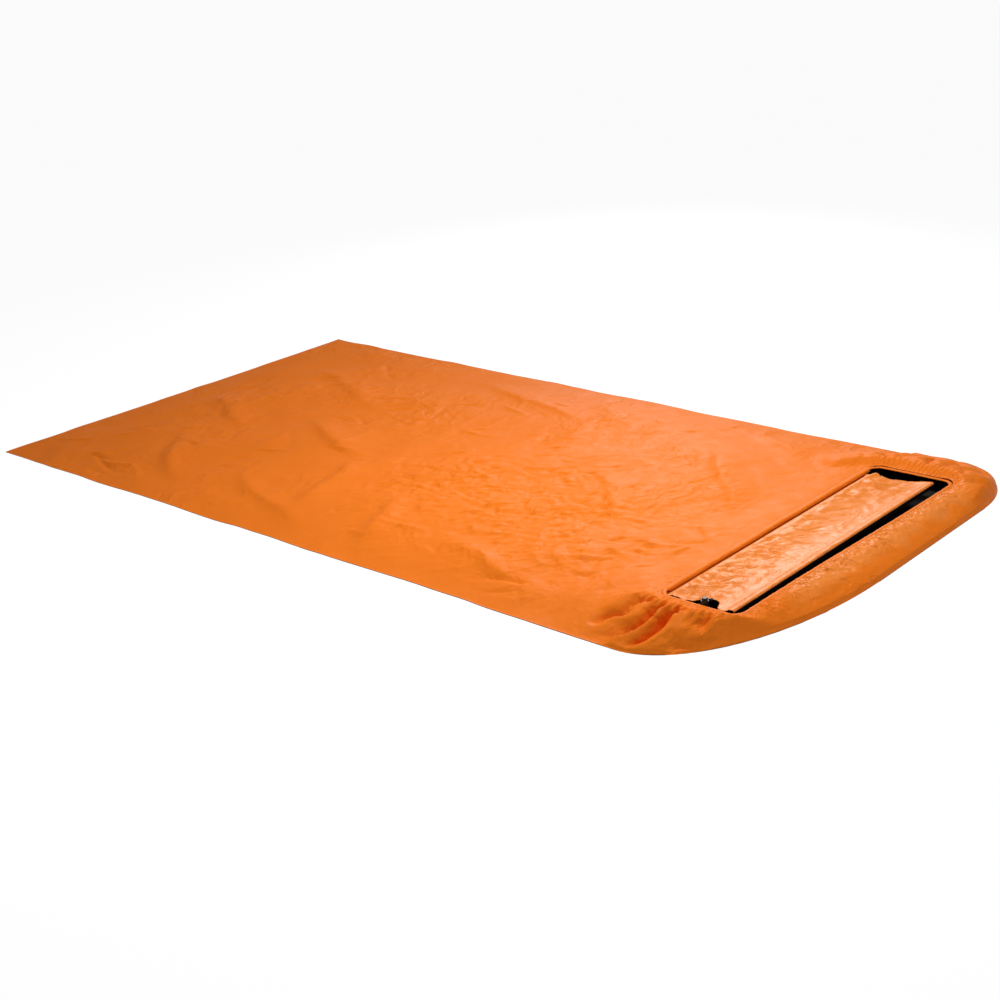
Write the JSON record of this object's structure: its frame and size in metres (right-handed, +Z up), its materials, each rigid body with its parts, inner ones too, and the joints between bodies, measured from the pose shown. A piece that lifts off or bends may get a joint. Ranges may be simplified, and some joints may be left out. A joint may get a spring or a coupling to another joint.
{
  "type": "bivy sack",
  "caption": "Wide flat-laid waterproof bivy sack with taped seams, a gathered drawcord mouth at the head end, a folding storm flap and a spring cord lock.",
  "frame": {"origin": "middle of the underside of the sack as it lies flat", "axes": "+X from the foot to the head end, +Y across the sack, away from the side with the cord lock, +Z up"},
  "size_m": [2.4, 1.3, 0.0578],
  "materials": {
    "shell_fabric": "matt orange coated ripstop weave, dark grey inner face",
    "flap_fabric": "glossy film-faced orange fabric",
    "binding": "folded and stitched fabric casing",
    "seam_tape": "heat-sealed tape on the inner face",
    "cord": "braided elastic cord",
    "lock_plastic": "moulded black plastic",
    "spring_steel": "drawn wire"
  },
  "bodies": {
    "sack": {"floor_panel": "shell_fabric", "top_panel": "shell_fabric", "hood_panel": "shell_fabric", "near_seam_tape": "seam_tape", "far_seam_tape": "seam_tape", "foot_seam_tape": "seam_tape", "head_seam_tape": "seam_tape", "near_hood_seam_tape": "seam_tape", "far_hood_seam_tape": "seam_tape", "hem_casing": "binding", "hood_casing": "binding", "drawcord": "cord", "cord_exit_eyelet": "lock_plastic", "cord_end_bead": "lock_plastic", "flap_root_tape": "binding"},
    "flap": {"storm_flap": "flap_fabric", "flap_edge_elastic": "cord"},
    "cord_lock": {"cord_lock_barrel": "lock_plastic", "cord_lock_spring": "spring_steel"},
    "plunger": {"cord_lock_plunger": "lock_plastic"}
  },
  "joints": [
    {"name": "flap_fold", "type": "hinge", "parent": "sack", "child": "flap", "pos_m": [0.895, 0, 0.036], "axis": [0, -1, 0], "range_deg": [0, 168]},
    {"name": "lock_slide", "type": "slide", "parent": "sack", "child": "cord_lock", "axis": [0, 1, 0], "range_m": [0, 0.008]},
    {"name": "plunger_press", "type": "slide", "parent": "cord_lock", "child": "plunger", "axis": [0, 0, -1], "range_m": [0, 0.003], "stiffness_N_per_m": 800, "springref_m": -0.004, "deforming": ["cord_lock_spring"]}
  ]
}
